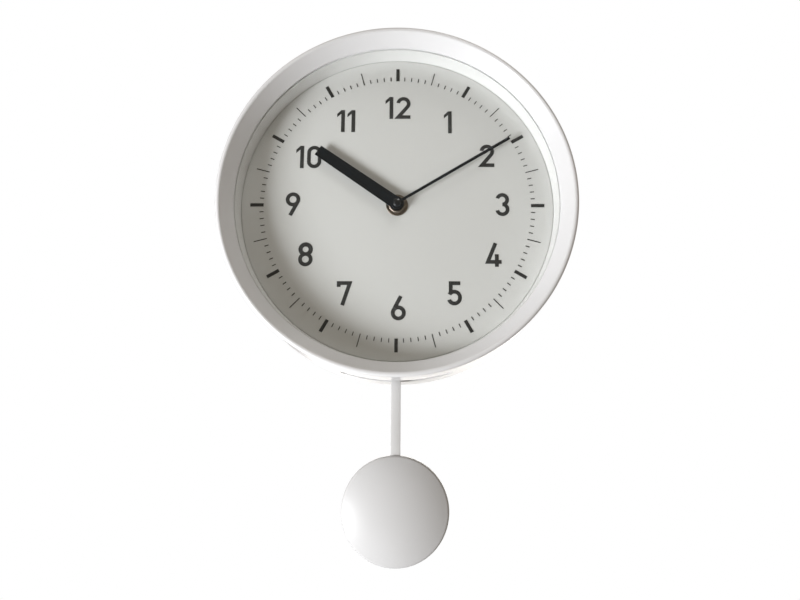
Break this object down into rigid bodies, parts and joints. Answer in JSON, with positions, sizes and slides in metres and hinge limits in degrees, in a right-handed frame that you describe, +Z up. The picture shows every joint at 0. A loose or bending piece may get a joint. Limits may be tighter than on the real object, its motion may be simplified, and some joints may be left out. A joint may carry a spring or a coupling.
{
  "type": "pendulum wall clock",
  "caption": "Round deep wall clock with a sloping bezel, numbered dial, quartz hand movement and a magnet-driven pendulum hanging through a slot in its side wall.",
  "frame": {"origin": "middle of the clock's back on the wall plane, in line with the hands", "axes": "+Z up to twelve o'clock, +Y into the wall, the dial faces -Y"},
  "size_m": [0.24, 0.059, 0.355],
  "materials": {
    "case_white": "satin white moulding",
    "ring_white": "matt white",
    "lens_clear": "clear polished",
    "dial_paper": "matt light grey-white print ground",
    "dial_ink": "matt black print",
    "hand_black": "satin black lacquer",
    "cap_black": "gloss black",
    "bronze": "darkened, turned",
    "bushing_brass": "turned",
    "support_board": "grey moulding",
    "cover_plastic": "fine texture white",
    "screw_steel": "zinc plated",
    "hanger_steel": "zinc plated sheet",
    "movement_black": "fine texture black",
    "bridge_plastic": "natural",
    "gear_plastic": "natural acetal",
    "arbor_brass": "turned",
    "knob_plastic": "ribbed white",
    "magnet_grey": "sintered magnet",
    "stator_iron": "soft iron sheet",
    "coil_copper": "enamelled copper wire",
    "board_green": "solder mask",
    "crystal_can": "plated can",
    "contact_nickel": "nickel plated spring strip",
    "cell_jacket": "plain printed jacket",
    "lead_sleeve": "sleeved wire",
    "pin_steel": "polished",
    "leader_plastic": "natural",
    "rod_white": "satin white lacquer",
    "bob_white": "satin white lacquer",
    "weight_steel": "plain"
  },
  "bodies": {
    "case": {"case_shell": "case_white", "lens": "lens_clear", "spacer_ring": "ring_white", "dial_plate": "dial_paper", "hour_numerals": "dial_ink", "minute_track": "dial_ink", "dial_support_plate": "support_board", "support_plate_screws": "screw_steel", "rear_cover": "cover_plastic", "rear_cover_screws": "screw_steel", "hanger_plate": "hanger_steel", "hanger_rivets": "hanger_steel", "movement_front_housing": "movement_black", "movement_rear_housing": "movement_black", "threaded_bushing": "bushing_brass", "dial_washer": "bronze", "fixing_nut": "bronze", "train_bridge": "bridge_plastic", "stator": "stator_iron", "motor_coil": "coil_copper", "circuit_board": "board_green", "quartz_crystal": "crystal_can", "positive_contact": "contact_nickel", "negative_contact": "contact_nickel", "pendulum_drive_housing": "movement_black", "pendulum_drive_cover": "movement_black", "drive_board": "board_green", "drive_coil": "coil_copper", "drive_screws": "screw_steel", "lead_wires": "lead_sleeve", "leader_pivot_pin": "pin_steel", "pivot_clip": "pin_steel"},
    "minute_train": {"minute_arbor": "arbor_brass", "minute_hand": "hand_black", "minute_hand_cap": "cap_black"},
    "hour_train": {"hour_wheel": "gear_plastic", "hour_hand": "hand_black"},
    "minute_wheel_set": {"minute_wheel": "gear_plastic"},
    "setting_knob": {"set_knob": "knob_plastic"},
    "centre_wheel_set": {"centre_wheel": "gear_plastic"},
    "third_wheel_set": {"third_wheel": "gear_plastic"},
    "fourth_wheel_set": {"fourth_wheel": "gear_plastic"},
    "fifth_wheel_set": {"fifth_wheel": "gear_plastic"},
    "rotor_set": {"rotor": "magnet_grey"},
    "pendulum": {"pendulum_leader": "leader_plastic", "drive_magnet": "magnet_grey", "pendulum_rod": "rod_white", "bob_front_shell": "bob_white", "bob_back_plate": "bob_white", "bob_weight": "weight_steel", "bob_rivet": "weight_steel"},
    "battery": {"battery_aa": "cell_jacket"}
  },
  "joints": [
    {"name": "minute_spin", "type": "hinge", "parent": "case", "child": "minute_train", "pos_m": [0, -0.03, 0], "axis": [0, 1, 0], "continuous": true},
    {"name": "hour_spin", "type": "hinge", "parent": "case", "child": "hour_train", "pos_m": [0, -0.03, 0], "axis": [0, 1, 0], "continuous": true},
    {"name": "minute_wheel_spin", "type": "hinge", "parent": "case", "child": "minute_wheel_set", "pos_m": [-0.012, -0.027, 0], "axis": [0, 1, 0], "continuous": true},
    {"name": "set_knob_spin", "type": "hinge", "parent": "case", "child": "setting_knob", "pos_m": [-0.012, -0.02, 0.012], "axis": [0, 1, 0], "continuous": true},
    {"name": "centre_spin", "type": "hinge", "parent": "case", "child": "centre_wheel_set", "pos_m": [0, -0.0235, 0], "axis": [0, 1, 0], "continuous": true},
    {"name": "third_spin", "type": "hinge", "parent": "case", "child": "third_wheel_set", "pos_m": [0.0054, -0.022, 0.00935], "axis": [0, 1, 0], "continuous": true},
    {"name": "fourth_spin", "type": "hinge", "parent": "case", "child": "fourth_wheel_set", "pos_m": [0.0156, -0.0205, 0.00935], "axis": [0, 1, 0], "continuous": true},
    {"name": "fifth_spin", "type": "hinge", "parent": "case", "child": "fifth_wheel_set", "pos_m": [0.01716, -0.019, 0.01822], "axis": [0, 1, 0], "continuous": true},
    {"name": "rotor_spin", "type": "hinge", "parent": "case", "child": "rotor_set", "pos_m": [0.00889, -0.02, 0.01968], "axis": [0, 1, 0], "continuous": true},
    {"name": "pendulum_swing", "type": "hinge", "parent": "case", "child": "pendulum", "pos_m": [0, -0.028, -0.036], "axis": [0, 1, 0], "range_deg": [-12, 12]},
    {"name": "battery_out", "type": "slide", "parent": "case", "child": "battery", "axis": [0, 1, 0], "range_m": [0, 0.04]}
  ],
  "couplings": [
    {"joint": "hour_spin", "follows": "minute_spin", "ratio": 0.083333},
    {"joint": "minute_wheel_spin", "follows": "minute_spin", "ratio": -0.33333},
    {"joint": "set_knob_spin", "follows": "minute_spin", "ratio": 1},
    {"joint": "centre_spin", "follows": "fourth_spin", "ratio": 0.016667},
    {"joint": "third_spin", "follows": "fourth_spin", "ratio": -0.13333},
    {"joint": "fifth_spin", "follows": "fourth_spin", "ratio": -5},
    {"joint": "rotor_spin", "follows": "fourth_spin", "ratio": 30}
  ]
}
